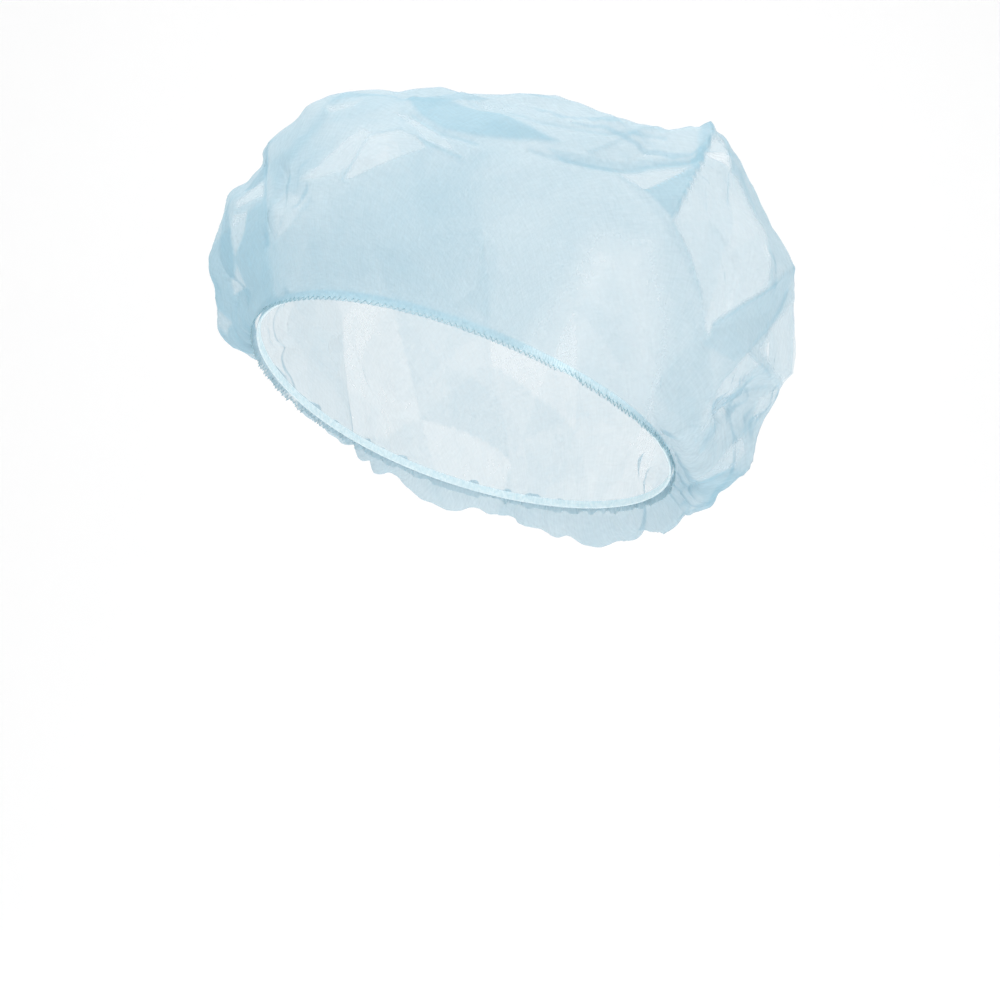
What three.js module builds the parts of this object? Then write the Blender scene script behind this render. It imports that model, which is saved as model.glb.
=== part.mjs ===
// A disposable bouffant cap: one round sheet of non-woven cloth, gathered onto a ring of elastic.
// Millimetres, +Z up. The cap opens downwards, its front is -Y and its left side is +X. The origin is the middle of
// the tilted ring that the elastic follows, where the cap sits when it is worn.
import * as THREE from "three";

// The opening, at the elastic's inner face, seen from above
const OPENING_WIDTH = 150;
const OPENING_DEPTH = 174;
const OPENING_EGG_RATIO = 0.09; // how much wider the back of the opening is than its middle, as a share
const OPENING_TILT = 24; // degrees by which the front of the opening is raised

// The edge elastic, a flat band on the inside of the cloth
const ELASTIC_WIDTH = 3;
const ELASTIC_THICKNESS = 1;
const ELASTIC_GAP = 0.3; // between the elastic and the cloth
const ELASTIC_STEPS = 126;

// The cloth
const WALL = 1;
const EDGE_FRILL = 3.5; // cloth that stands free below the middle of the elastic
const FRILL_FLARE = 0.8; // how far the free edge leans outwards
const NECK = 4; // cloth that still follows the opening above the elastic
const RINGS = 28; // rings of corners from the middle of the sheet to its edge
const PROFILE_STEPS = 80; // points along each section of the crown

// The puffed crown
const CROWN_RISE = 119; // top of the cloth above the middle of the opening
const CROWN_SHIFT = 12; // how far the top lies behind the middle of the opening
const PUFF = 50; // most that the cloth stands out past the opening
const DROOP = 13; // most that the cloth hangs below its own edge

// Gathers along the elastic
const GATHERS = 42;
const GATHER_DEPTH = 2.4;
const GATHER_LENGTH = 36; // how far the longest gather runs up the cloth

// Creases of a sheet that was packed flat and opened out again
const SHEET_RADIUS = 230; // the round sheet before it is gathered
const FACET_PITCH = 46;
const FACET_DEPTH = 6;

// One row for each section round the cap. azimuth is in degrees from the front, towards +X.
// low is where the cloth turns away from its edge: out is a share of PUFF, and rise a share of DROOP.
// wide is the widest place: out is a share of PUFF, and rise a share of CROWN_RISE.
// shoulder's reach is a share of the widest radius, and top's of the opening's. Their rises are shares of CROWN_RISE.
// slack is how loose and creased the cloth is, from 0 to 1.
const COLUMNS = [
  "azimuth", "lowOut", "lowRise", "wideOut", "wideRise", "shoulderReach", "shoulderRise", "topReach", "topRise", "slack",
];
const SECTIONS = [
  [0, 0.04, 1.0, 0.15, 0.6, 0.81, 0.89, 0.55, 0.99, 0.15],
  [30, 0.04, 1.0, 0.16, 0.56, 0.81, 0.87, 0.4, 0.99, 0.15],
  [60, 0.05, 0.9, 0.22, 0.48, 0.82, 0.86, 0.4, 0.97, 0.2],
  [90, 0.12, 0.5, 0.52, 0.38, 0.85, 0.85, 0.45, 0.94, 0.5],
  [120, 0.17, -0.3, 0.92, 0.27, 0.86, 0.8, 0.45, 0.92, 1],
  [150, 0.25, -0.8, 0.88, 0.2, 0.86, 0.8, 0.42, 0.93, 1],
  [180, 0.27, -0.95, 0.86, 0.2, 0.82, 0.8, 0.42, 0.95, 1],
  [210, 0.28, -0.7, 0.82, 0.24, 0.8, 0.8, 0.42, 0.97, 1],
  [240, 0.26, -0.2, 0.72, 0.3, 0.8, 0.82, 0.42, 0.98, 1],
  [270, 0.18, 0.6, 0.46, 0.36, 0.82, 0.8, 0.42, 0.98, 0.9],
  [300, 0.14, 0.6, 0.38, 0.42, 0.83, 0.77, 0.66, 0.96, 0.8],
  [330, 0.04, 1.0, 0.18, 0.52, 0.84, 0.84, 0.66, 0.98, 0.3],
];

// One row for each main fold. It runs on the cloth from one place to another: an azimuth in degrees, and a share of
// the way up from the edge to the top. rise is a share of PUFF, a ridge if it is positive and a valley if it isn't,
// and width is a share of PUFF too, from the crease to where the cloth is flat again on either side.
const FOLD_COLUMNS = ["fromAzimuth", "fromUp", "toAzimuth", "toUp", "rise", "width"];
const FOLDS = [
  [110, 0.62, 87, 0.37, 0.2, 0.45],
  [87, 0.37, 98, 0.22, 0.11, 0.4],
  [98, 0.22, 118, 0.34, -0.1, 0.3],
  [108, 0.25, 106, 0.11, 0.1, 0.3],
  [124, 0.22, 119, 0.09, -0.16, 0.3],
  [132, 0.3, 128, 0.1, 0.12, 0.35],
  [50, 0.44, 97, 0.5, -0.09, 0.35],
  [16, 0.26, 23, 0.4, 0.06, 0.3],
  [23, 0.4, 58, 0.42, 0.06, 0.3],
  [343, 0.38, 346, 0.14, -0.12, 0.35],
  [330, 0.28, 326, 0.08, 0.1, 0.35],
  [310, 0.34, 316, 0.06, -0.08, 0.3],
  [296, 0.3, 300, 0.06, 0.08, 0.3],
  [272, 0.5, 276, 0.06, -0.12, 0.4],
  [250, 0.3, 246, 0.05, -0.12, 0.35],
  [232, 0.55, 226, 0.06, 0.12, 0.4],
  [212, 0.34, 205, 0.05, -0.14, 0.4],
  [190, 0.5, 184, 0.05, 0.12, 0.4],
  [168, 0.36, 172, 0.05, -0.14, 0.4],
  [150, 0.55, 155, 0.06, 0.14, 0.4],
  [60, 0.62, 150, 0.74, -0.1, 0.45],
  [330, 0.55, 250, 0.62, -0.1, 0.45],
];

const UP = new THREE.Vector3(0, 0, 1);
const tilt = THREE.MathUtils.degToRad(OPENING_TILT);
const intoCap = new THREE.Vector3(0, Math.sin(tilt), Math.cos(tilt));
const clothOffset = ELASTIC_THICKNESS + ELASTIC_GAP + WALL;

// The direction in plan that an azimuth points to.
function outward(azimuth) {
  return new THREE.Vector3(Math.sin(azimuth), -Math.cos(azimuth), 0);
}

// A point of the ring that lies a given distance outside the opening.
function ringPoint(azimuth, offset) {
  const b = OPENING_DEPTH / 2 + offset;
  const roundings = 5;
  let radius = b;
  for (let i = 0; i < roundings; i += 1) {
    const wider = 1 - (OPENING_EGG_RATIO * Math.cos(azimuth) * radius) / b;
    const a = (OPENING_WIDTH / 2) * wider + offset;
    radius = (a * b) / Math.hypot(b * Math.sin(azimuth), a * Math.cos(azimuth));
  }
  const point = outward(azimuth).multiplyScalar(radius);
  point.z = -point.y * Math.tan(tilt);
  return point;
}

// A smooth curve through table values that repeat every full turn.
function aroundTable(rows, column, azimuth) {
  const turn = 360;
  const degrees = ((THREE.MathUtils.radToDeg(azimuth) % turn) + turn) % turn;
  const count = rows.length;
  let i = count - 1;
  while (rows[i][0] > degrees) i -= 1;
  const at = (k) => rows[(k + count) % count][column];
  const place = (k) => rows[(k + count) % count][0] + turn * Math.floor(k / count);
  const span = place(i + 1) - place(i);
  const t = (degrees - place(i)) / span;
  const slopeHere = ((at(i + 1) - at(i - 1)) / (place(i + 1) - place(i - 1))) * span;
  const slopeNext = ((at(i + 2) - at(i)) / (place(i + 2) - place(i))) * span;
  return (
    at(i) * (1 + 2 * t) * (1 - t) ** 2 +
    slopeHere * t * (1 - t) ** 2 +
    at(i + 1) * t * t * (3 - 2 * t) +
    slopeNext * t * t * (t - 1)
  );
}

function sectionAt(azimuth) {
  return Object.fromEntries(COLUMNS.map((name, k) => [name, aroundTable(SECTIONS, k, azimuth)]));
}

// The crown's section at an azimuth, from the cloth's edge to the top, as equally spaced points.
const sectionCache = new Map();
function profile(azimuth) {
  const key = azimuth.toFixed(6);
  if (sectionCache.has(key)) return sectionCache.get(key);
  const s = sectionAt(azimuth);
  const out = outward(azimuth);
  const seat = ringPoint(azimuth, clothOffset);
  const rim = Math.hypot(seat.x, seat.y);
  const at = (radius, rise, shift) =>
    out.clone().multiplyScalar(radius).add(new THREE.Vector3(0, CROWN_SHIFT * shift, rise));
  const widest = rim + s.wideOut * PUFF;
  const line = new THREE.CatmullRomCurve3(
    [
      seat.clone().addScaledVector(intoCap, -EDGE_FRILL).addScaledVector(out, FRILL_FLARE),
      seat,
      seat.clone().addScaledVector(intoCap, NECK).addScaledVector(out, s.lowOut * NECK),
      seat.clone().addScaledVector(out, s.lowOut * PUFF).addScaledVector(UP, s.lowRise * DROOP),
      at(widest, s.wideRise * CROWN_RISE, 0),
      at(widest * s.shoulderReach, s.shoulderRise * CROWN_RISE, 0),
      at(rim * s.topReach, s.topRise * CROWN_RISE, 1),
      new THREE.Vector3(0, CROWN_SHIFT, CROWN_RISE),
    ],
    false,
    "centripetal",
  );
  line.arcLengthDivisions = PROFILE_STEPS * 4;
  const points = line.getSpacedPoints(PROFILE_STEPS);
  sectionCache.set(key, points);
  return points;
}

// A point of the smooth crown, a share of the way up from its edge to its top.
function smoothPoint(azimuth, up) {
  const points = profile(azimuth);
  const place = THREE.MathUtils.clamp(up, 0, 1) * PROFILE_STEPS;
  const i = Math.min(Math.floor(place), PROFILE_STEPS - 1);
  return points[i].clone().lerp(points[i + 1], place - i);
}

function smoothNormal(azimuth, up) {
  const step = 0.01;
  const low = smoothPoint(azimuth, up - step);
  const along = smoothPoint(azimuth, up + step).sub(low);
  const across = smoothPoint(azimuth + step, up).sub(smoothPoint(azimuth - step, up));
  return across.cross(along).normalize();
}

// A number from 0 to 1 that looks random and is the same each time.
function scatter(i, j, salt) {
  const x = Math.sin(i * 127.1 + j * 311.7 + salt * 74.7) * 43758.5453;
  return x - Math.floor(x);
}

// Flat facets with sharp creases between them, over the flat sheet: high and low corners on an uneven lattice.
const LATTICE_RATIO = Math.sqrt(3) / 2;
const UNEVEN_SHARE = 0.55;
function facetHeight(x, y, pitch, salt) {
  const corner = (i, j) => ({
    x: (i + j / 2 + UNEVEN_SHARE * (scatter(i, j, salt) - 0.5)) * pitch,
    y: (j * LATTICE_RATIO + UNEVEN_SHARE * (scatter(i, j, salt + 1) - 0.5)) * pitch,
    h: 2 * scatter(i, j, salt + 2) - 1,
  });
  const row = Math.floor(y / pitch / LATTICE_RATIO);
  const column = Math.floor(x / pitch - row / 2);
  for (let j = row - 1; j <= row + 1; j += 1) {
    for (let i = column - 1; i <= column + 1; i += 1) {
      const [a, b, c, d] = [corner(i, j), corner(i + 1, j), corner(i, j + 1), corner(i + 1, j + 1)];
      for (const [p, q, r] of [[a, b, c], [b, d, c]]) {
        const area = (q.x - p.x) * (r.y - p.y) - (r.x - p.x) * (q.y - p.y);
        const u = ((q.x - x) * (r.y - y) - (r.x - x) * (q.y - y)) / area;
        const v = ((r.x - x) * (p.y - y) - (p.x - x) * (r.y - y)) / area;
        if (u >= 0 && v >= 0 && u + v <= 1) return u * p.h + v * q.h + (1 - u - v) * r.h;
      }
    }
  }
  return 0;
}

// How far a fold lifts the cloth at a place: a straight crease that dies away on both sides and at both ends.
function foldHeight(fold, point) {
  const [fromAzimuth, fromUp, toAzimuth, toUp, rise, width] = fold.row;
  let height = 0;
  for (const [share, place] of fold.places) {
    const near = 1 - place.distanceTo(point) / (width * PUFF);
    height = Math.max(height, near * Math.min(1, 4 * Math.sin(Math.PI * share)));
  }
  return height * rise * PUFF;
}

const FOLD_PLACES = 16;
const folds = FOLDS.map((row) => {
  const [fromAzimuth, fromUp, toAzimuth, toUp] = row;
  const places = [];
  for (let k = 0; k <= FOLD_PLACES; k += 1) {
    const share = k / FOLD_PLACES;
    const azimuth = THREE.MathUtils.degToRad(THREE.MathUtils.lerp(fromAzimuth, toAzimuth, share));
    places.push([share, smoothPoint(azimuth, THREE.MathUtils.lerp(fromUp, toUp, share))]);
  }
  return { row, places };
});

// How far the gathers lift the cloth. They are deepest at the elastic and each runs its own length up the cloth.
function gatherHeight(azimuth, upLength, slack) {
  const wave = (azimuth / (2 * Math.PI)) * GATHERS;
  const which = Math.floor(wave + 0.5);
  const length = GATHER_LENGTH * (0.35 + 0.65 * scatter(which, 3, 5)) * (0.4 + 0.6 * slack);
  const depth = GATHER_DEPTH * (0.35 + 0.65 * slack) * (0.6 + 0.4 * scatter(which, 4, 6));
  const ridge = 1 - 2 * Math.abs(wave - which);
  return depth * ridge * Math.max(0, 1 - upLength / length);
}

// A point of the cloth's outer face.
function clothPoint(azimuth, up) {
  const point = smoothPoint(azimuth, up);
  const slack = THREE.MathUtils.clamp(sectionAt(azimuth).slack + THREE.MathUtils.smoothstep(up, 0.4, 0.75), 0, 1);
  const length = up * SHEET_RADIUS;
  const onSheet = (1 - up) * SHEET_RADIUS;
  const settled = THREE.MathUtils.smoothstep(length, EDGE_FRILL + NECK, GATHER_LENGTH);
  const facets =
    facetHeight(onSheet * Math.sin(azimuth), -onSheet * Math.cos(azimuth), FACET_PITCH, 11) *
    FACET_DEPTH * slack * settled;
  let lift = facets + gatherHeight(azimuth, length, slack);
  for (const fold of folds) lift += foldHeight(fold, point) * settled;
  return point.addScaledVector(smoothNormal(azimuth, up), lift);
}

function material(color, roughness) {
  return new THREE.MeshStandardMaterial({ color, roughness, metalness: 0 });
}

// The cloth: a round sheet of triangles, with six more corners in each ring than in the one inside it, and a wall.
function crown() {
  const outer = [clothPoint(0, 1)];
  const firstOf = (ring) => (ring ? 1 + 3 * ring * (ring - 1) : 0);
  for (let ring = 1; ring <= RINGS; ring += 1) {
    for (let k = 0; k < 6 * ring; k += 1) {
      outer.push(clothPoint((2 * Math.PI * k) / (6 * ring), 1 - ring / RINGS));
    }
  }
  const faces = [];
  for (let ring = 1; ring <= RINGS; ring += 1) {
    const here = (k) => firstOf(ring) + (k % (6 * ring));
    const inside = (k) => firstOf(ring - 1) + (ring > 1 ? k % (6 * (ring - 1)) : 0);
    for (let sector = 0; sector < 6; sector += 1) {
      for (let k = 0; k < ring; k += 1) {
        const a = sector * ring + k;
        const b = sector * (ring - 1) + k;
        faces.push([here(a), here(a + 1), inside(b)]);
        if (k < ring - 1) faces.push([here(a + 1), inside(b + 1), inside(b)]);
      }
    }
  }
  const sheet = new THREE.BufferGeometry();
  sheet.setAttribute("position", new THREE.Float32BufferAttribute(outer.flatMap((p) => p.toArray()), 3));
  sheet.setIndex(faces.flat());
  sheet.computeVertexNormals();
  const normals = sheet.getAttribute("normal");
  const inner = outer.map((p, i) =>
    p.clone().addScaledVector(new THREE.Vector3().fromBufferAttribute(normals, i), -WALL),
  );
  const count = outer.length;
  const wall = faces.concat(faces.map(([a, b, c]) => [c + count, b + count, a + count]));
  const edge = firstOf(RINGS);
  const edgeCount = 6 * RINGS;
  for (let k = 0; k < edgeCount; k += 1) {
    const a = edge + k;
    const b = edge + ((k + 1) % edgeCount);
    wall.push([a + count, b + count, b], [a + count, b, a]);
  }
  const geometry = new THREE.BufferGeometry();
  const corners = outer.concat(inner).flatMap((p) => p.toArray());
  geometry.setAttribute("position", new THREE.Float32BufferAttribute(corners, 3));
  geometry.setIndex(wall.flat());
  const mesh = new THREE.Mesh(geometry, material(0xb9d9e7, 0.8));
  mesh.name = "crown";
  return mesh;
}

// The elastic: a flat band that lies inside the cloth, all the way round the opening.
function edgeElastic() {
  const corners = [];
  const faces = [];
  const section = [[0, -0.5], [1, -0.5], [1, 0.5], [0, 0.5]];
  for (let k = 0; k < ELASTIC_STEPS; k += 1) {
    const azimuth = (2 * Math.PI * k) / ELASTIC_STEPS;
    for (const [across, along] of section) {
      const point = ringPoint(azimuth, across * ELASTIC_THICKNESS).addScaledVector(intoCap, along * ELASTIC_WIDTH);
      corners.push(...point.toArray());
    }
    for (let side = 0; side < section.length; side += 1) {
      const next = ((k + 1) % ELASTIC_STEPS) * section.length;
      const a = k * section.length + side;
      const b = k * section.length + ((side + 1) % section.length);
      const c = next + side;
      const d = next + ((side + 1) % section.length);
      faces.push([a, c, b], [b, c, d]);
    }
  }
  const geometry = new THREE.BufferGeometry();
  geometry.setAttribute("position", new THREE.Float32BufferAttribute(corners, 3));
  geometry.setIndex(faces.flat());
  const mesh = new THREE.Mesh(geometry, material(0xdfeaf0, 0.6));
  mesh.name = "edge_elastic";
  return mesh;
}

const cap = new THREE.Group();
cap.name = "bouffant_cap";
cap.add(crown(), edgeElastic());

export default cap;
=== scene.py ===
import math

import bpy
import numpy as np
from mathutils import Matrix, Vector


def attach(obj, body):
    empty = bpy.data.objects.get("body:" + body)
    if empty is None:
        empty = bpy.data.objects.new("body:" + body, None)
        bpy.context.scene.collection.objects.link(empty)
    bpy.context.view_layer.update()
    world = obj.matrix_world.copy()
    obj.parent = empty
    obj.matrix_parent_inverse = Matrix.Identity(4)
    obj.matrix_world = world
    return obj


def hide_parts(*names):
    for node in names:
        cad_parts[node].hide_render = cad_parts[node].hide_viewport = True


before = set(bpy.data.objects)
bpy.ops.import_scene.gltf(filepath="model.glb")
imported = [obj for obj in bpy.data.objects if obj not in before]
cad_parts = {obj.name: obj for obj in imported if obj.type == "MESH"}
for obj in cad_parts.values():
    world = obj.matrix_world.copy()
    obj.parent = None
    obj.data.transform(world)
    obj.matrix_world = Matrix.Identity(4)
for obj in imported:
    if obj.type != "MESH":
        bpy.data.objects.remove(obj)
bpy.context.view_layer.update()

MM = 0.001

# Sizes that the frame was made with, in millimetres
OPENING_WIDTH = 150
OPENING_DEPTH = 174
OPENING_EGG = 0.09
OPENING_TILT = math.radians(24)
ELASTIC_WIDTH = 3
ELASTIC_THICKNESS = 1
ELASTIC_GAP = 0.3
WALL = 1
EDGE_FRILL = 3.5
FRILL_FLARE = 0.8
NECK = 4
CROWN_RISE = 119
CROWN_SHIFT = 12
PUFF = 50
DROOP = 13
SHEET_RADIUS = 230
FACET_PITCH = 46
FACET_DEPTH = 6
FACET_UNEVEN = 0.55
GATHER_LENGTH = 36

# The smaller facets of the crumpled cloth, in millimetres, and the share by which they are uneven
MIDDLE_PITCH = 27
MIDDLE_DEPTH = 2.4
SMALL_PITCH = 12
SMALL_UNEVEN = 0.8

# How far the cloth hugs the elastic, and how far it may dip near it, in millimetres
EDGE_HUG = 1
DIP = 6

# The stitches: how many, how many rings of the cloth's mesh they reach over, and in millimetres their thread
STITCHES = 230
STITCH_RINGS = 2
THREAD_RADIUS = 0.2
THREAD_LIFT = 0.3

# The elastic: the steps round it, and its edges and the dents of its wrapping in millimetres
BAND_STEPS = 1380
BAND_ROUNDING = 0.25
BAND_INSET = 0.1
WRAP_DEPTH = 0.12

# azimuth, lowOut, lowRise, wideOut, wideRise, shoulderReach, shoulderRise, topReach, topRise, slack
SECTIONS = np.array([
    [0, 0.04, 1.0, 0.15, 0.6, 0.81, 0.89, 0.55, 0.99, 0.15],
    [30, 0.04, 1.0, 0.16, 0.56, 0.81, 0.87, 0.4, 0.99, 0.15],
    [60, 0.05, 0.9, 0.22, 0.48, 0.82, 0.86, 0.4, 0.97, 0.2],
    [90, 0.12, 0.5, 0.52, 0.38, 0.85, 0.85, 0.45, 0.94, 0.5],
    [120, 0.17, -0.3, 0.92, 0.27, 0.86, 0.8, 0.45, 0.92, 1],
    [150, 0.25, -0.8, 0.88, 0.2, 0.86, 0.8, 0.42, 0.93, 1],
    [180, 0.27, -0.95, 0.86, 0.2, 0.82, 0.8, 0.42, 0.95, 1],
    [210, 0.28, -0.7, 0.82, 0.24, 0.8, 0.8, 0.42, 0.97, 1],
    [240, 0.26, -0.2, 0.72, 0.3, 0.8, 0.82, 0.42, 0.98, 1],
    [270, 0.18, 0.6, 0.46, 0.36, 0.82, 0.8, 0.42, 0.98, 0.9],
    [300, 0.14, 0.6, 0.38, 0.42, 0.83, 0.77, 0.66, 0.96, 0.8],
    [330, 0.04, 1.0, 0.18, 0.52, 0.84, 0.84, 0.66, 0.98, 0.3],
])
# fromAzimuth, fromUp, toAzimuth, toUp, rise, width
FOLDS = [
    [110, 0.62, 87, 0.37, 0.2, 0.45],
    [87, 0.37, 98, 0.22, 0.11, 0.4],
    [98, 0.22, 118, 0.34, -0.1, 0.3],
    [108, 0.25, 106, 0.11, 0.1, 0.3],
    [124, 0.22, 119, 0.09, -0.16, 0.3],
    [132, 0.3, 128, 0.1, 0.12, 0.35],
    [50, 0.44, 97, 0.5, -0.09, 0.35],
    [16, 0.26, 23, 0.4, 0.06, 0.3],
    [23, 0.4, 58, 0.42, 0.06, 0.3],
    [343, 0.38, 346, 0.14, -0.12, 0.35],
    [330, 0.28, 326, 0.08, 0.1, 0.35],
    [310, 0.34, 316, 0.06, -0.08, 0.3],
    [296, 0.3, 300, 0.06, 0.08, 0.3],
    [272, 0.5, 276, 0.06, -0.12, 0.4],
    [250, 0.3, 246, 0.05, -0.12, 0.35],
    [232, 0.55, 226, 0.06, 0.12, 0.4],
    [212, 0.34, 205, 0.05, -0.14, 0.4],
    [190, 0.5, 184, 0.05, 0.12, 0.4],
    [168, 0.36, 172, 0.05, -0.14, 0.4],
    [150, 0.55, 155, 0.06, 0.14, 0.4],
    [60, 0.62, 150, 0.74, -0.1, 0.45],
    [330, 0.55, 250, 0.62, -0.1, 0.45],
]

# count, depth, reach, salt, overhang
GATHERS = [
    [120, 1.0, 9, 3, 0.55],
    [34, 1.7, 45, 8, 0.25],
    [15, 3.4, 120, 5, 0.0],
]

# Where the cloth gets a denser, darker tone, above 0, or a thinner, brighter one, below 0: outlines in
# pixels of the photograph. Some mark cloth lying double or single; the first two rows, over most of the cap
# and broadly over its left side, are painted shade.
# tone, softness of the outline in pixels, outline
TONES = [
    [0.08, 14, [
        (285, 240), (320, 195), (365, 180), (420, 160), (490, 147), (560, 158), (617, 172), (645, 191),
        (673, 222), (689, 254), (700, 300), (705, 340), (700, 420), (690, 470), (640, 430), (560, 380),
        (440, 330), (300, 320), (240, 350), (262, 280),
    ]],
    [0.55, 80, [
        (252, 240), (320, 195), (365, 180), (420, 160), (490, 147), (480, 210), (430, 310), (300, 330),
        (240, 350),
    ]],
    [-1.2, 34, [
        (520, 360), (570, 290), (600, 235), (650, 245), (662, 330), (645, 425), (580, 395),
    ]],
    [-0.8, 14, [
        (548, 372), (575, 330), (602, 250), (612, 262), (590, 330), (572, 378),
    ]],
    [0.25, 8, [
        (462, 300), (474, 290), (484, 240), (500, 250), (490, 320),
    ]],
    [0.5, 30, [
        (205, 200), (262, 150), (300, 110), (330, 150), (290, 220), (280, 350), (205, 355),
    ]],
    [0.75, 5, [
        (200, 268), (222, 235), (262, 200), (268, 240), (275, 300), (255, 345), (225, 350), (208, 300),
    ]],
    [-1.4, 3, [
        (235, 202), (262, 182), (262, 195), (237, 207),
    ]],
    [-1.5, 3, [
        (232, 215), (247, 212), (245, 230), (236, 255), (231, 235),
    ]],
    [-1.4, 3, [
        (237, 265), (247, 287), (237, 294), (234, 282),
    ]],
    [-1.2, 3, [
        (214, 303), (235, 322), (228, 334), (212, 322),
    ]],
    [0.5, 6, [
        (268, 165), (305, 135), (330, 97), (395, 90), (405, 102), (375, 112), (325, 125), (300, 150),
        (275, 190),
    ]],
    [-0.9, 3, [
        (326, 107), (362, 100), (352, 107), (330, 113),
    ]],
    [-1.0, 5, [
        (300, 180), (325, 158), (362, 128), (372, 133), (350, 166), (318, 178),
    ]],
    [-2.0, 2, [
        (344, 180), (355, 162), (370, 137), (400, 131), (415, 137), (425, 147), (395, 157), (372, 167),
    ]],
    [-0.9, 3, [
        (395, 112), (415, 126), (427, 141), (455, 150), (437, 131), (412, 116),
    ]],
    [1.5, 5, [
        (405, 96), (450, 100), (500, 112), (560, 141), (520, 141), (477, 136), (445, 130), (422, 116),
    ]],
    [-0.8, 4, [
        (276, 240), (274, 205), (287, 192), (305, 200), (290, 225),
    ]],
    [-0.2, 8, [
        (470, 98), (540, 98), (600, 126), (560, 138), (500, 118),
    ]],
    [0.7, 3, [
        (545, 146), (560, 150), (620, 162), (700, 158), (702, 164), (640, 168), (600, 170), (563, 161),
    ]],
    [-0.2, 3, [
        (630, 161), (655, 142), (690, 134), (697, 150), (688, 158), (645, 162),
    ]],
    [-1.5, 2, [
        (617, 173), (645, 191), (662, 184), (690, 170), (655, 171),
    ]],
    [1.1, 3, [
        (700, 122), (713, 128), (711, 145), (702, 165), (687, 195), (673, 219), (655, 200), (645, 191),
        (690, 170), (698, 148),
    ]],
    [-1.5, 2, [
        (712, 140), (703, 163), (688, 194), (674, 221), (689, 254), (700, 290), (705, 334), (714, 322),
        (730, 311), (765, 288), (771, 262), (768, 236), (752, 205), (733, 170), (723, 140),
    ]],
    [0.3, 3, [
        (723, 130), (733, 170), (752, 205), (768, 236), (771, 262), (792, 268), (770, 215), (740, 160),
    ]],
    [0.7, 3, [
        (705, 345), (715, 326), (735, 311), (766, 289), (795, 268), (788, 300), (776, 322), (758, 345),
        (735, 362),
    ]],
    [-1.2, 3, [
        (795, 300), (799, 384), (784, 384), (764, 350), (777, 325),
    ]],
    [-1.0, 4, [
        (697, 440), (705, 410), (720, 385), (748, 352), (762, 364), (738, 388), (722, 410),
    ]],
    [-1.0, 3, [
        (756, 398), (772, 390), (769, 408), (754, 420), (750, 410),
    ]],
    [-1.0, 4, [
        (686, 478), (712, 457), (744, 434), (748, 450), (735, 468), (712, 474),
    ]],
    [0.5, 20, [
        (650, 450), (700, 470), (760, 400), (800, 400), (750, 500), (700, 530), (640, 540),
    ]],
    [0.6, 3, [
        (690, 484), (735, 472), (752, 466), (740, 485), (716, 505), (700, 515), (682, 505),
    ]],
    [-0.8, 3, [
        (684, 495), (700, 492), (708, 508), (692, 514),
    ]],
]

# Crease lines, in pixels of the photograph: lift in millimetres, half width in pixels, points
CREASES = [
    [2.6, 8, [
        (709, 122), (711, 138), (702, 163), (687, 194), (673, 220), (689, 254), (698, 281), (704, 303),
        (706, 332),
    ]],
    [-1.2, 6, [
        (530, 150), (567, 160), (620, 170), (700, 162),
    ]],
    [0.9, 5, [
        (617, 172), (645, 191), (690, 170), (711, 138),
    ]],
    [-1.0, 7, [
        (265, 148), (264, 200), (268, 245),
    ]],
    [0.9, 6, [
        (344, 180), (370, 137), (400, 131), (430, 145), (460, 158),
    ]],
    [0.8, 9, [
        (460, 300), (474, 286), (484, 240),
    ]],
    [1.6, 15, [
        (560, 385), (580, 341), (599, 274), (643, 250),
    ]],
    [1.5, 15, [
        (575, 375), (592, 341), (631, 270), (663, 246),
    ]],
    [-1.0, 5, [
        (413, 115), (440, 132), (477, 143),
    ]],
    [1.0, 6, [
        (714, 325), (735, 311), (766, 289), (792, 268),
    ]],
    [-0.8, 6, [
        (758, 345), (776, 322), (790, 290),
    ]],
    [1.2, 6, [
        (697, 440), (720, 385), (750, 350), (775, 382),
    ]],
    [-1.0, 6, [
        (700, 450), (738, 392), (768, 386),
    ]],
    [1.0, 6, [
        (684, 482), (744, 434), (756, 400),
    ]],
    [-1.0, 5, [
        (684, 488), (735, 470),
    ]],
    [0.9, 6, [
        (723, 135), (752, 205), (770, 250), (770, 285),
    ]],
    [0.8, 5, [
        (590, 152), (640, 132), (690, 126),
    ]],
    [-0.7, 5, [
        (470, 100), (540, 120), (600, 130), (665, 140),
    ]],
]

# Creases up to this half width, in pixels, also show as a darker, denser line: partly cloth lying double in
# the pleat, partly painted shade in the crease
SHARP_CREASE = 8

# The cap's outline, in pixels of the photograph, from its lower left over the top to its lower right,
# a point in the middle of it, and the most that it may move the cloth
OUTLINE = [
    (252, 354), (236, 350), (222, 338), (215, 327), (215, 305), (214, 285), (208, 275), (209, 262),
    (220, 227), (227, 202), (232, 192), (247, 185), (264, 165), (265, 147), (275, 136), (295, 122),
    (312, 105), (330, 97), (362, 90), (385, 87), (395, 90), (460, 91), (500, 93), (540, 95), (560, 98),
    (597, 112), (635, 125), (667, 131), (685, 126), (706, 124), (720, 132), (730, 145), (745, 172),
    (760, 205), (775, 232), (790, 257), (793, 270), (793, 330), (794, 357), (792, 379), (781, 382),
    (775, 393), (774, 408), (757, 422), (756, 441), (754, 460), (747, 473), (734, 481), (717, 493),
    (716, 504), (701, 512), (687, 514), (678, 523), (665, 535), (655, 537),
]
OUTLINE_MIDDLE = (500, 300)
OUTLINE_MOST = 20

# Colours of the thread, dark and light
STITCH_DARK = (0.26, 0.47, 0.55)
STITCH_LIGHT = (0.46, 0.66, 0.73)
BAND_DARK = (0.62, 0.77, 0.82)
BAND_LIGHT = (0.76, 0.87, 0.9)

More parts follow.
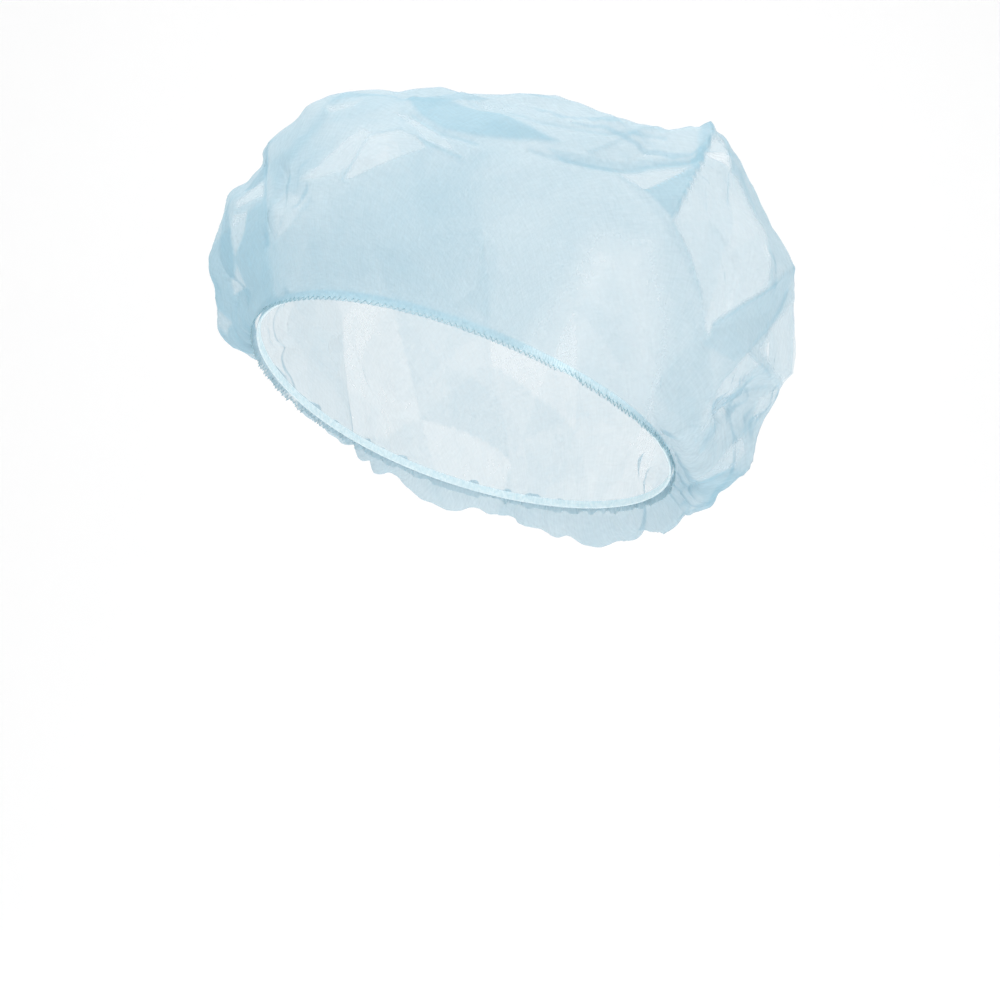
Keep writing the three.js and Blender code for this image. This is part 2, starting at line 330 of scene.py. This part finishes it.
# The camera, in the row frame: it looks level, at this azimuth, from this far
CAMERA_AZIMUTH = math.radians(37)
CAMERA_DISTANCE = 1300
CAMERA_ACROSS = 15.6
CAMERA_RISE = -37
PIXELS_PER_MM = 1 / 0.39
IMAGE_MIDDLE = 500
camera_right = np.array([math.cos(CAMERA_AZIMUTH), math.sin(CAMERA_AZIMUTH), 0])
to_camera = np.array([math.sin(CAMERA_AZIMUTH), -math.cos(CAMERA_AZIMUTH), 0])

into_cap = np.array([0, math.sin(OPENING_TILT), math.cos(OPENING_TILT)])
CLOTH_OFFSET = ELASTIC_THICKNESS + ELASTIC_GAP + WALL
PROFILE_STEPS = 240
AZIMUTHS = 720
CLOTH_RINGS = 175


def outward(azimuth):
    azimuth = np.asarray(azimuth, float)
    return np.stack([np.sin(azimuth), -np.cos(azimuth), np.zeros_like(azimuth)], -1)


def ring_point(azimuth, offset):
    """Points of the ring that lies a given distance outside the opening."""
    azimuth = np.asarray(azimuth, float)
    b = OPENING_DEPTH / 2 + offset
    radius = np.full_like(azimuth, b)
    for _ in range(5):
        a = OPENING_WIDTH / 2 * (1 - OPENING_EGG * np.cos(azimuth) * radius / b) + offset
        radius = a * b / np.hypot(b * np.sin(azimuth), a * np.cos(azimuth))
    point = outward(azimuth) * radius[..., None]
    point[..., 2] = -point[..., 1] * math.tan(OPENING_TILT)
    return point


def around_table(column, azimuth):
    """A smooth curve through a column of SECTIONS that repeats every full turn."""
    degrees = np.degrees(azimuth) % 360
    step = 360 / len(SECTIONS)
    i = np.floor(degrees / step).astype(int)
    t = degrees / step - i
    value = SECTIONS[:, column]
    before, here, after, beyond = (value[(i + k) % len(SECTIONS)] for k in (-1, 0, 1, 2))
    return (
        here * (1 + 2 * t) * (1 - t) ** 2
        + (after - before) / 2 * t * (1 - t) ** 2
        + after * t * t * (3 - 2 * t)
        + (beyond - here) / 2 * t * t * (t - 1)
    )


def smooth_curve(points):
    """A centripetal curve through points (n, 3), as PROFILE_STEPS + 1 equally spaced ones."""
    ends = [2 * points[0] - points[1], *points, 2 * points[-1] - points[-2]]
    line = []
    t = np.linspace(0, 1, 40, endpoint=False)[:, None]
    for p0, p1, p2, p3 in zip(ends, ends[1:], ends[2:], ends[3:]):
        d0, d1, d2 = (max(np.linalg.norm(q - p), 1e-6) ** 0.5 for p, q in ((p0, p1), (p1, p2), (p2, p3)))
        m1 = d1 * ((p1 - p0) / d0 - (p2 - p0) / (d0 + d1) + (p2 - p1) / d1)
        m2 = d1 * ((p2 - p1) / d1 - (p3 - p1) / (d1 + d2) + (p3 - p2) / d2)
        line.append(
            p1 + m1 * t + (3 * (p2 - p1) - 2 * m1 - m2) * t**2 + (2 * (p1 - p2) + m1 + m2) * t**3
        )
    line = np.concatenate([*line, points[-1:]])
    length = np.concatenate([[0], np.cumsum(np.linalg.norm(np.diff(line, axis=0), axis=1))])
    place = np.linspace(0, length[-1], PROFILE_STEPS + 1)
    return np.stack([np.interp(place, length, line[:, k]) for k in range(3)], 1)


def crown_grid():
    grid = []
    for azimuth in np.arange(AZIMUTHS) * 2 * math.pi / AZIMUTHS:
        s = [float(around_table(k, azimuth)) for k in range(SECTIONS.shape[1])]
        out = outward(azimuth)
        seat = ring_point(azimuth, CLOTH_OFFSET)
        rim = math.hypot(seat[0], seat[1])
        wide = rim + s[3] * PUFF
        grid.append(smooth_curve(np.array([
            seat - EDGE_FRILL * into_cap + FRILL_FLARE * out,
            seat,
            seat + NECK * into_cap + s[1] * NECK * out,
            seat + s[1] * PUFF * out + [0, 0, s[2] * DROOP],
            out * wide + [0, 0, s[4] * CROWN_RISE],
            out * wide * s[5] + [0, 0, s[6] * CROWN_RISE],
            out * rim * s[7] + [0, CROWN_SHIFT, s[8] * CROWN_RISE],
            [0, CROWN_SHIFT, CROWN_RISE],
        ])))
    return np.array(grid)


GRID = crown_grid()


def smooth_point(azimuth, up):
    """Points of the smooth crown, a share of the way up from its edge to its top."""
    a = np.asarray(azimuth, float) / (2 * math.pi) * AZIMUTHS
    s = np.clip(up, 0, 1) * PROFILE_STEPS
    i = np.floor(a).astype(int)
    j = np.minimum(np.floor(s).astype(int), PROFILE_STEPS - 1)
    fa, fs = (a - i)[..., None], (s - j)[..., None]
    here, after = i % AZIMUTHS, (i + 1) % AZIMUTHS
    low = GRID[here, j] * (1 - fa) + GRID[after, j] * fa
    high = GRID[here, j + 1] * (1 - fa) + GRID[after, j + 1] * fa
    return low * (1 - fs) + high * fs


def smooth_normal(azimuth, up):
    step = 0.01
    along = smooth_point(azimuth, up + step) - smooth_point(azimuth, up - step)
    across = smooth_point(azimuth + step, up) - smooth_point(azimuth - step, up)
    normal = np.cross(across, along)
    return normal / np.maximum(np.linalg.norm(normal, axis=-1, keepdims=True), 1e-9)


def scatter(i, j, salt):
    """Numbers from 0 to 1 that look random and are the same each time."""
    x = np.sin(i * 127.1 + j * 311.7 + salt * 74.7) * 43758.5453
    return x - np.floor(x)


def facets(x, y, pitch, salt, uneven):
    """Flat facets with sharp creases between them, from -1 to 1, over the flat sheet."""
    rise = math.sqrt(3) / 2

    def corner(i, j):
        return (
            (i + j / 2 + uneven * (scatter(i, j, salt) - 0.5)) * pitch,
            (j * rise + uneven * (scatter(i, j, salt + 1) - 0.5)) * pitch,
            2 * scatter(i, j, salt + 2) - 1,
        )

    height = np.zeros_like(x)
    tone = np.zeros_like(x)
    found = np.zeros(x.shape, bool)
    row = np.floor(y / pitch / rise)
    column = np.floor(x / pitch - row / 2)
    for dj in (-1, 0, 1):
        for di in (-1, 0, 1):
            i, j = column + di, row + dj
            a, b, c, d = corner(i, j), corner(i + 1, j), corner(i, j + 1), corner(i + 1, j + 1)
            for half, (p, q, r) in enumerate(((a, b, c), (b, d, c))):
                area = (q[0] - p[0]) * (r[1] - p[1]) - (r[0] - p[0]) * (q[1] - p[1])
                u = ((q[0] - x) * (r[1] - y) - (r[0] - x) * (q[1] - y)) / area
                v = ((r[0] - x) * (p[1] - y) - (p[0] - x) * (r[1] - y)) / area
                hit = (u >= 0) & (v >= 0) & (u + v <= 1) & ~found
                height[hit] = (u * p[2] + v * q[2] + (1 - u - v) * r[2])[hit]
                tone[hit] = (2 * scatter(i, 2 * j + half, salt + 3) - 1)[hit]
                found |= hit
    return height, tone


def smoothstep(x, low, high):
    t = np.clip((x - low) / (high - low), 0, 1)
    return t * t * (3 - 2 * t)


def fold_height(row, points):
    """How far a fold lifts the cloth: a straight crease that dies away on both sides and at both ends."""
    share = np.linspace(0, 1, 17)
    azimuth = np.radians(row[0] + (row[2] - row[0]) * share)
    places = smooth_point(azimuth, row[1] + (row[3] - row[1]) * share)
    height = np.zeros(len(points))
    for s, place in zip(share, places):
        near = 1 - np.linalg.norm(points - place, axis=1) / (row[5] * PUFF)
        height = np.maximum(height, near * min(1, 4 * math.sin(math.pi * s)))
    return height * row[4] * PUFF


def disc(rings):
    """A round sheet of triangles: azimuths, shares of the way up, and faces."""
    azimuth, up, faces = [0.0], [1.0], []

    def first(ring):
        return 1 + 3 * ring * (ring - 1) if ring else 0

    for ring in range(1, rings + 1):
        k = np.arange(6 * ring)
        azimuth.extend(2 * math.pi * k / (6 * ring))
        up.extend([1 - ring / rings] * (6 * ring))
        for sector in range(6):
            for n in range(ring):
                a = sector * ring + n
                b = sector * (ring - 1) + n
                here = first(ring) + a % (6 * ring)
                following = first(ring) + (a + 1) % (6 * ring)
                inside = first(ring - 1) + (b % (6 * (ring - 1)) if ring > 1 else 0)
                faces.append((here, following, inside))
                if n < ring - 1:
                    faces.append((following, first(ring - 1) + (b + 1) % (6 * (ring - 1)), inside))
    return np.array(azimuth), np.array(up), faces


def vertex_normals(points, faces):
    f = np.asarray(faces)
    n = np.cross(points[f[:, 1]] - points[f[:, 0]], points[f[:, 2]] - points[f[:, 0]])
    total = np.zeros_like(points)
    for k in range(3):
        np.add.at(total, f[:, k], n)
    return total / np.maximum(np.linalg.norm(total, axis=1, keepdims=True), 1e-12)


def untangle(points, faces, outside):
    """Smooths the few places where a pleat would fold the cloth through itself."""
    f = np.asarray(faces)
    pairs = np.concatenate([f[:, [0, 1]], f[:, [1, 2]], f[:, [2, 0]]])
    here, there = np.concatenate([pairs, pairs[:, ::-1]]).T
    count = np.bincount(here, minlength=len(points))
    for _ in range(12):
        normal = np.cross(points[f[:, 1]] - points[f[:, 0]], points[f[:, 2]] - points[f[:, 0]])
        turned = np.sum(normal * outside[f].mean(1), axis=1) < 0.15 * np.linalg.norm(normal, axis=1)
        near = np.zeros(len(points))
        near[f[turned].ravel()] = 1
        for _ in range(2):
            near = np.minimum(near + np.bincount(here, near[there], len(points)), 1)
        mean = np.stack([np.bincount(here, points[there, k], len(points)) / count for k in range(3)], 1)
        points = points + 0.6 * near[:, None] * (mean - points)
    return points


def gathers(azimuth, length, slack, count, depth, reach, salt, overhang):
    """How far pleats lift and shift the cloth. Each runs up from the elastic with its own size."""
    wave = azimuth / (2 * math.pi) * count
    wave = wave + 0.9 * np.sin(azimuth * 5 + salt) + 0.6 * np.sin(azimuth * 11 + 2 * salt)
    which = np.floor(wave + 0.5)
    own = which % count
    long = reach * (0.35 + 0.65 * scatter(own, 3, salt)) * (0.4 + 0.6 * slack)
    tall = depth * (0.5 + 0.5 * scatter(own, 4, salt)) * (0.1 + 0.9 * slack)
    fade = np.clip(1 - length / long, 0, 1) ** 0.8
    phase = 2 * math.pi * (wave - which)
    lift = tall * fade * (0.5 + 0.5 * np.cos(phase))
    pitch = 2 * math.pi * 90 / count
    shift = overhang * pitch / (2 * math.pi) * fade * np.sin(2 * phase) * (0.3 + 0.7 * slack)
    return lift, shift


def to_pixels(points):
    """Where points in millimetres fall in the photograph's frame."""
    scale = CAMERA_DISTANCE * PIXELS_PER_MM / (CAMERA_DISTANCE - points @ to_camera)
    across = points @ camera_right - CAMERA_ACROSS
    rise = points[:, 2] - CAMERA_RISE
    return np.stack([IMAGE_MIDDLE + scale * across, IMAGE_MIDDLE - scale * rise], 1)


def line_distance(pixels, start, end):
    start, end = np.array(start, float), np.array(end, float)
    along = np.clip((pixels - start) @ (end - start) / max((end - start) @ (end - start), 1e-9), 0, 1)
    return np.linalg.norm(pixels - start - along[:, None] * (end - start), axis=1)


def inside_share(pixels, outline, soft):
    """1 inside an outline and 0 outside it, with a soft step between them."""
    inside = np.zeros(len(pixels), bool)
    distance = np.full(len(pixels), 1e9)
    for start, end in zip(outline, outline[1:] + outline[:1]):
        distance = np.minimum(distance, line_distance(pixels, start, end))
        if start[1] != end[1]:
            crossing = start[0] + (pixels[:, 1] - start[1]) * (end[0] - start[0]) / (end[1] - start[1])
            inside ^= ((pixels[:, 1] > start[1]) != (pixels[:, 1] > end[1])) & (pixels[:, 0] < crossing)
    return np.clip(0.5 + np.where(inside, distance, -distance) / soft, 0, 1)


def to_outline(points, normals, free):
    """Moves the cloth that forms the outline in the camera's view out or in, up to OUTLINE."""
    pixels = to_pixels(points) - OUTLINE_MIDDLE
    wanted = np.array(OUTLINE, float) - OUTLINE_MIDDLE
    angle = np.degrees(np.arctan2(pixels[:, 1], pixels[:, 0])) % 360
    wanted_angle = np.degrees(np.arctan2(wanted[:, 1], wanted[:, 0])) % 360
    reach = np.linalg.norm(pixels, axis=1)
    degrees = np.arange(360)
    now = np.zeros(360)
    np.maximum.at(now, np.round(angle).astype(int) % 360, reach)
    order = np.argsort(wanted_angle)
    aim = np.interp(degrees, wanted_angle[order], np.linalg.norm(wanted, axis=1)[order], period=360)
    low_side = (wanted_angle[-1], wanted_angle[0])
    beyond = np.clip(np.minimum(degrees - low_side[0], low_side[1] - degrees) / 8, 0, 1)
    change = np.clip(aim - now, -OUTLINE_MOST, OUTLINE_MOST) * (1 - beyond)
    change = np.mean([np.roll(change, k) for k in (-1, 0, 1)], axis=0)
    fine = np.interp(angle, np.append(degrees, 360), np.append(change, change[0]))
    weight = (1 - smoothstep(np.abs(normals @ to_camera), 0.1, 0.7)) * smoothstep(reach, 60, 170) * free
    direction = pixels / np.maximum(reach, 1)[:, None]
    move = camera_right * direction[:, :1] - np.array([0, 0, 1]) * direction[:, 1:]
    return points + move * (fine * weight / PIXELS_PER_MM)[:, None]


def cloth_shape():
    azimuth, up, faces = disc(CLOTH_RINGS)
    base = smooth_point(azimuth, up)
    slack = np.clip(around_table(9, azimuth) + smoothstep(up, 0.4, 0.75), 0, 1)
    length = up * SHEET_RADIUS
    settled = smoothstep(length, EDGE_FRILL + NECK, GATHER_LENGTH)
    flat = outward(azimuth)[:, :2] * ((1 - up) * SHEET_RADIUS)[:, None]
    large, large_tone = facets(flat[:, 0], flat[:, 1], FACET_PITCH, 11, FACET_UNEVEN)
    lift = large * FACET_DEPTH * slack * settled
    for row in FOLDS:
        lift += fold_height(row, base) * settled
    points = base + smooth_normal(azimuth, up) * lift[:, None]
    for _ in range(2):
        points = to_outline(points, vertex_normals(points, faces), settled)

    normals = vertex_normals(points, faces)
    pixels = to_pixels(points)
    shown = smoothstep(normals @ to_camera, -0.1, 0.1)
    middle, middle_tone = facets(flat[:, 0], flat[:, 1], MIDDLE_PITCH, 31, SMALL_UNEVEN)
    small, small_tone = facets(flat[:, 0], flat[:, 1], SMALL_PITCH, 51, SMALL_UNEVEN)
    unseen = 1 - shown
    crumpled = slack * smoothstep(length, EDGE_FRILL, 20)
    waves = np.sin(flat[:, 0] / 31 + 2) * np.sin(flat[:, 1] / 23 + 1)
    patchy = smoothstep(small_tone * 0.2 + waves, -0.3, 0.5)
    small_depth = (0.15 + 0.6 * patchy) * (1 - 0.5 * unseen)
    fine = (middle * MIDDLE_DEPTH + small * small_depth) * crumpled
    tone = (0.3 * large_tone + 0.15 * middle_tone) * crumpled * (0.15 + 0.85 * unseen)
    # Each outline adds its tone and lifts the cloth a little: cloth lying double or single, and painted
    # shade in the first two outlines
    for value, soft, outline in TONES:
        share = inside_share(pixels, outline, soft) * shown
        tone += value * share
        fine += 0.35 * value * share
    for rise, half_width, line in CREASES:
        away = np.min([line_distance(pixels, a, b) for a, b in zip(line, line[1:])], axis=0)
        fine += rise * np.clip(1 - away / half_width, 0, 1) * shown
        # A darker line of painted shade along the crease, partly denser cloth in the pleat
        if half_width <= SHARP_CREASE:
            tone += 0.7 * np.clip(1.4 - away / 2, 0, 1) * shown

    above = np.maximum(length - EDGE_FRILL, 0)
    pinch = 0.15 + 0.85 * smoothstep(length - EDGE_FRILL, 0, 4)
    shift = np.zeros_like(fine)
    for count, depth, reach, salt, overhang in GATHERS:
        a, b = gathers(azimuth, above, slack, count, depth, reach, salt, overhang)
        fine += a * pinch
        shift += b
    fine = np.maximum(fine, -DIP * smoothstep(length, 6, 30))
    along = outward(azimuth + math.pi / 2)
    tight = EDGE_HUG * (1 - smoothstep(np.abs(length - EDGE_FRILL), 2, 9))
    points = points + normals * fine[:, None] + along * shift[:, None]
    points = points - outward(azimuth) * tight[:, None]
    return untangle(points, faces, smooth_normal(azimuth, up)), faces, flat, tone


def ring_faces(steps, sides):
    """The faces of a tube that closes on itself, from the steps along it and the sides round it."""
    faces = []
    for k in range(steps):
        following = (k + 1) % steps
        for n in range(sides):
            m = (n + 1) % sides
            faces.append((k * sides + n, following * sides + n, following * sides + m, k * sides + m))
    return faces


def tube(path, radius, sides=5):
    """A closed tube along a closed path: points and faces."""
    ahead = np.roll(path, -1, axis=0) - np.roll(path, 1, axis=0)
    ahead /= np.linalg.norm(ahead, axis=1, keepdims=True)
    side = np.cross(ahead, into_cap)
    side /= np.linalg.norm(side, axis=1, keepdims=True)
    up = np.cross(side, ahead)
    turn = 2 * math.pi * np.arange(sides) / sides
    around = side[:, None] * np.cos(turn)[:, None] + up[:, None] * np.sin(turn)[:, None]
    return (path[:, None] + radius * around).reshape(-1, 3), ring_faces(len(path), sides)


def stitch_path(points):
    """A zigzag of thread on the cloth's outer side, over the elastic."""
    path = []
    for k in range(2 * STITCHES):
        azimuth = 2 * math.pi * k / (2 * STITCHES)
        ring = CLOTH_RINGS - (STITCH_RINGS if k % 2 else 0)
        place = azimuth / (2 * math.pi) * 6 * ring
        first = 1 + 3 * ring * (ring - 1)
        before = points[first + int(place) % (6 * ring)]
        after = points[first + (int(place) + 1) % (6 * ring)]
        path.append(before + (after - before) * (place % 1) + THREAD_LIFT * outward(azimuth))
    return np.array(path)


def band_shape():
    """The flat elastic with every third step pressed in, as by a wrapping of thread: points and faces."""
    half, thick = ELASTIC_WIDTH / 2, ELASTIC_THICKNESS
    section = [
        (BAND_INSET, -half),
        (thick - BAND_INSET, -half),
        (thick, -half + BAND_ROUNDING),
        (thick, half - BAND_ROUNDING),
        (thick - BAND_INSET, half),
        (BAND_INSET, half),
        (0, half - BAND_ROUNDING),
        (0, -half + BAND_ROUNDING),
    ]
    azimuth = 2 * math.pi * np.arange(BAND_STEPS) / BAND_STEPS
    wrapped = WRAP_DEPTH * (np.arange(BAND_STEPS) % 3 == 0)
    rows = []
    for across, rise in section:
        inset = wrapped * (1 if across > thick / 2 else -1)
        rows.append(ring_point(azimuth, across - inset) + rise * into_cap)
    return np.stack(rows, 1).reshape(-1, 3), ring_faces(BAND_STEPS, len(section))


def new_mesh(name, points, faces, slot, smooth=True):
    mesh = bpy.data.meshes.new(name)
    mesh.from_pydata((np.asarray(points) * MM).tolist(), [], [tuple(map(int, f)) for f in faces])
    mesh.validate()
    obj = bpy.data.objects.new(name, mesh)
    bpy.context.scene.collection.objects.link(obj)
    for polygon in mesh.polygons:
        polygon.use_smooth = smooth
    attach(obj, "root")
    return obj


def nodes_of(name):
    material = bpy.data.materials.new(name)
    material.use_nodes = True
    tree = material.node_tree
    tree.nodes.clear()
    return material, tree


def link(tree, *pairs):
    for source, target in pairs:
        tree.links.new(source, target)


def cloth_material():
    material, tree = nodes_of("nonwoven_cloth")
    new = tree.nodes.new
    output = new("ShaderNodeOutputMaterial")
    uv = new("ShaderNodeTexCoord")

    def noise(scale, detail, stretch=(1, 1, 1)):
        mapping = new("ShaderNodeMapping")
        mapping.inputs["Scale"].default_value = stretch
        node = new("ShaderNodeTexNoise")
        node.noise_dimensions = "2D"
        node.inputs["Scale"].default_value = scale
        node.inputs["Detail"].default_value = detail
        link(
            tree,
            (uv.outputs["UV"], mapping.inputs["Vector"]),
            (mapping.outputs["Vector"], node.inputs["Vector"]),
        )
        return node.outputs["Fac"]

    def math_node(operation, a, b):
        node = new("ShaderNodeMath")
        node.operation = operation
        for socket, value in zip(node.inputs, (a, b)):
            if isinstance(value, (int, float)):
                socket.default_value = value
            else:
                link(tree, (value, socket))
        return node.outputs[0]

    cloudy = noise(22, 3)
    fibre_a = noise(700, 1, (1, 0.2, 1))
    fibre_b = noise(640, 1, (0.25, 1, 1))
    fibres = math_node("ADD", fibre_a, fibre_b)
    dots = new("ShaderNodeTexVoronoi")
    dots.voronoi_dimensions = "2D"
    dots.inputs["Scale"].default_value = 330
    dots.inputs["Randomness"].default_value = 0.12
    link(tree, (uv.outputs["UV"], dots.inputs["Vector"]))

    # How much of the light the cloth lets straight through
    # The tone attribute carries denser cloth and painted shade from the TONES outlines and crease lines
    tone = new("ShaderNodeAttribute")
    tone.attribute_name = "tone"
    density_and_painted_shade = tone.outputs["Fac"]
    open_share = math_node("SUBTRACT", 0.62, math_node("MULTIPLY", cloudy, 0.14))
    open_share = math_node("SUBTRACT", open_share, math_node("MULTIPLY", density_and_painted_shade, 0.25))
    uneven = math_node("MULTIPLY", math_node("SUBTRACT", fibres, 1), 0.12)
    open_share = math_node("SUBTRACT", open_share, uneven)
    # The colour is darker and bluer where the tone is higher: denser cloth, and painted shade
    blue = new("ShaderNodeValToRGB")
    blue.color_ramp.elements[0].color = (0.58, 0.685, 0.735, 1)
    blue.color_ramp.elements[1].color = (0.38, 0.57, 0.66, 1)
    link(tree, (math_node("ADD", math_node("MULTIPLY", density_and_painted_shade, 0.4), 0.5), blue.inputs["Fac"]))
    clear = new("ShaderNodeBsdfTransparent")
    clear.inputs["Color"].default_value = (0.94, 0.97, 0.985, 1)
    front = new("ShaderNodeBsdfPrincipled")
    front.inputs["Roughness"].default_value = 0.62
    front.inputs["Specular IOR Level"].default_value = 0.25
    through = new("ShaderNodeBsdfTranslucent")
    bump = new("ShaderNodeBump")
    bump.inputs["Strength"].default_value = 0.18
    bump.inputs["Distance"].default_value = 0.0004
    link(tree, (dots.outputs["Distance"], bump.inputs["Height"]))
    solid = new("ShaderNodeMixShader")
    solid.inputs["Fac"].default_value = 0.5
    mix = new("ShaderNodeMixShader")
    link(
        tree,
        (blue.outputs["Color"], front.inputs["Base Color"]),
        (blue.outputs["Color"], through.inputs["Color"]),
        (bump.outputs["Normal"], front.inputs["Normal"]),
        (bump.outputs["Normal"], through.inputs["Normal"]),
        (front.outputs["BSDF"], solid.inputs[1]),
        (through.outputs["BSDF"], solid.inputs[2]),
        (open_share, mix.inputs["Fac"]),
        (solid.outputs["Shader"], mix.inputs[1]),
        (clear.outputs["BSDF"], mix.inputs[2]),
        (mix.outputs["Shader"], output.inputs["Surface"]),
    )
    return material


def thread_material(name, dark, light, scale):
    """Spun thread: fine fibres of two tones, with a little relief."""
    material, tree = nodes_of(name)
    new = tree.nodes.new
    output = new("ShaderNodeOutputMaterial")
    place = new("ShaderNodeTexCoord")
    fibres = new("ShaderNodeTexNoise")
    fibres.inputs["Scale"].default_value = scale
    fibres.inputs["Detail"].default_value = 4
    ramp = new("ShaderNodeValToRGB")
    ramp.color_ramp.elements[0].position = 0.35
    ramp.color_ramp.elements[0].color = (*dark, 1)
    ramp.color_ramp.elements[1].position = 0.65
    ramp.color_ramp.elements[1].color = (*light, 1)
    bump = new("ShaderNodeBump")
    bump.inputs["Strength"].default_value = 0.4
    bump.inputs["Distance"].default_value = 0.0002
    surface = new("ShaderNodeBsdfPrincipled")
    surface.inputs["Roughness"].default_value = 0.75
    link(
        tree,
        (place.outputs["Object"], fibres.inputs["Vector"]),
        (fibres.outputs["Fac"], ramp.inputs["Fac"]),
        (fibres.outputs["Fac"], bump.inputs["Height"]),
        (ramp.outputs["Color"], surface.inputs["Base Color"]),
        (bump.outputs["Normal"], surface.inputs["Normal"]),
        (surface.outputs["BSDF"], output.inputs["Surface"]),
    )
    return material


points, faces, flat, tone = cloth_shape()
cloth = new_mesh("cap_cloth", points, faces, "nonwoven_cloth")
uv_layer = cloth.data.uv_layers.new(name="sheet")
corner = np.array([loop.vertex_index for loop in cloth.data.loops])
uv_layer.data.foreach_set("uv", (flat[corner] * MM).ravel())
# The tone per point: denser cloth, and painted shade from the outlines and crease lines
tone_layer = cloth.data.attributes.new("tone", "FLOAT", "POINT")
tone_layer.data.foreach_set("value", tone)
cloth.data.materials.append(cloth_material())
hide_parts("crown")

stitches = new_mesh("edge_stitches", *tube(stitch_path(points), THREAD_RADIUS), "elastic")
stitches.data.materials.append(thread_material("stitch_thread", STITCH_DARK, STITCH_LIGHT, 900))

band = new_mesh("edge_band", *band_shape(), "elastic", smooth=False)
band.data.materials.append(thread_material("elastic_thread", BAND_DARK, BAND_LIGHT, 700))
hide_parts("edge_elastic")


# The stage, the lights and the camera
def stage_material():
    material, tree = nodes_of("backdrop")
    output = tree.nodes.new("ShaderNodeOutputMaterial")
    paint = tree.nodes.new("ShaderNodeBsdfDiffuse")
    paint.inputs["Color"].default_value = (0.96, 0.96, 0.96, 1)
    link(tree, (paint.outputs["BSDF"], output.inputs["Surface"]))
    return material


def backdrop():
    floor, back, bend = -330.0, 1500.0, 500.0
    half, top = 12000.0, 3500.0
    line = [(-half, floor), (back - bend, floor)]
    for k in range(1, 13):
        angle = math.pi / 2 * k / 12
        line.append((back - bend + bend * math.sin(angle), floor + bend * (1 - math.cos(angle))))
    line.append((back, top))
    points = []
    for away, rise in line:
        for side in (-half, half):
            points.append(-to_camera * away + camera_right * side + np.array([0, 0, rise]))
    faces = [(2 * k, 2 * k + 1, 2 * k + 3, 2 * k + 2) for k in range(len(line) - 1)]
    mesh = bpy.data.meshes.new("backdrop")
    mesh.from_pydata((np.array(points) * MM).tolist(), [], faces)
    obj = bpy.data.objects.new("backdrop", mesh)
    bpy.context.scene.collection.objects.link(obj)
    for polygon in mesh.polygons:
        polygon.use_smooth = True
    mesh.materials.append(stage_material())


backdrop()


def area_light(name, across, towards, rise, size, power, target=(0, 0, 30)):
    data = bpy.data.lights.new(name, "AREA")
    data.size = size * MM
    data.energy = power
    obj = bpy.data.objects.new(name, data)
    place = (camera_right * across + to_camera * towards + np.array([0, 0, rise])) * MM
    aim = Vector(place) - Vector(np.array(target) * MM)
    obj.matrix_world = Matrix.Translation(place) @ aim.to_track_quat("Z", "Y").to_matrix().to_4x4()
    bpy.context.scene.collection.objects.link(obj)


area_light("key", -500, 700, 800, 500, 7)
area_light("fill", 900, 700, 200, 1200, 5)
area_light("top", 200, -500, 1200, 900, 8)

world = bpy.data.worlds.new("studio")
bpy.context.scene.world = world
world.use_nodes = True
background = world.node_tree.nodes["Background"]
background.inputs["Color"].default_value = (1, 1, 1, 1)
background.inputs["Strength"].default_value = 0.65
bpy.context.scene.view_settings.view_transform = "Standard"

camera_data = bpy.data.cameras.new("camera")
camera_data.sensor_width = 36
camera_data.lens = camera_data.sensor_width * CAMERA_DISTANCE * PIXELS_PER_MM / (2 * IMAGE_MIDDLE)
camera = bpy.data.objects.new("camera", camera_data)
place = to_camera * CAMERA_DISTANCE + camera_right * CAMERA_ACROSS + np.array([0, 0, CAMERA_RISE])
rotation = Vector(to_camera).to_track_quat("Z", "Y").to_matrix().to_4x4()
camera.matrix_world = Matrix.Translation(Vector(place * MM)) @ rotation
bpy.context.scene.collection.objects.link(camera)
bpy.context.scene.camera = camera
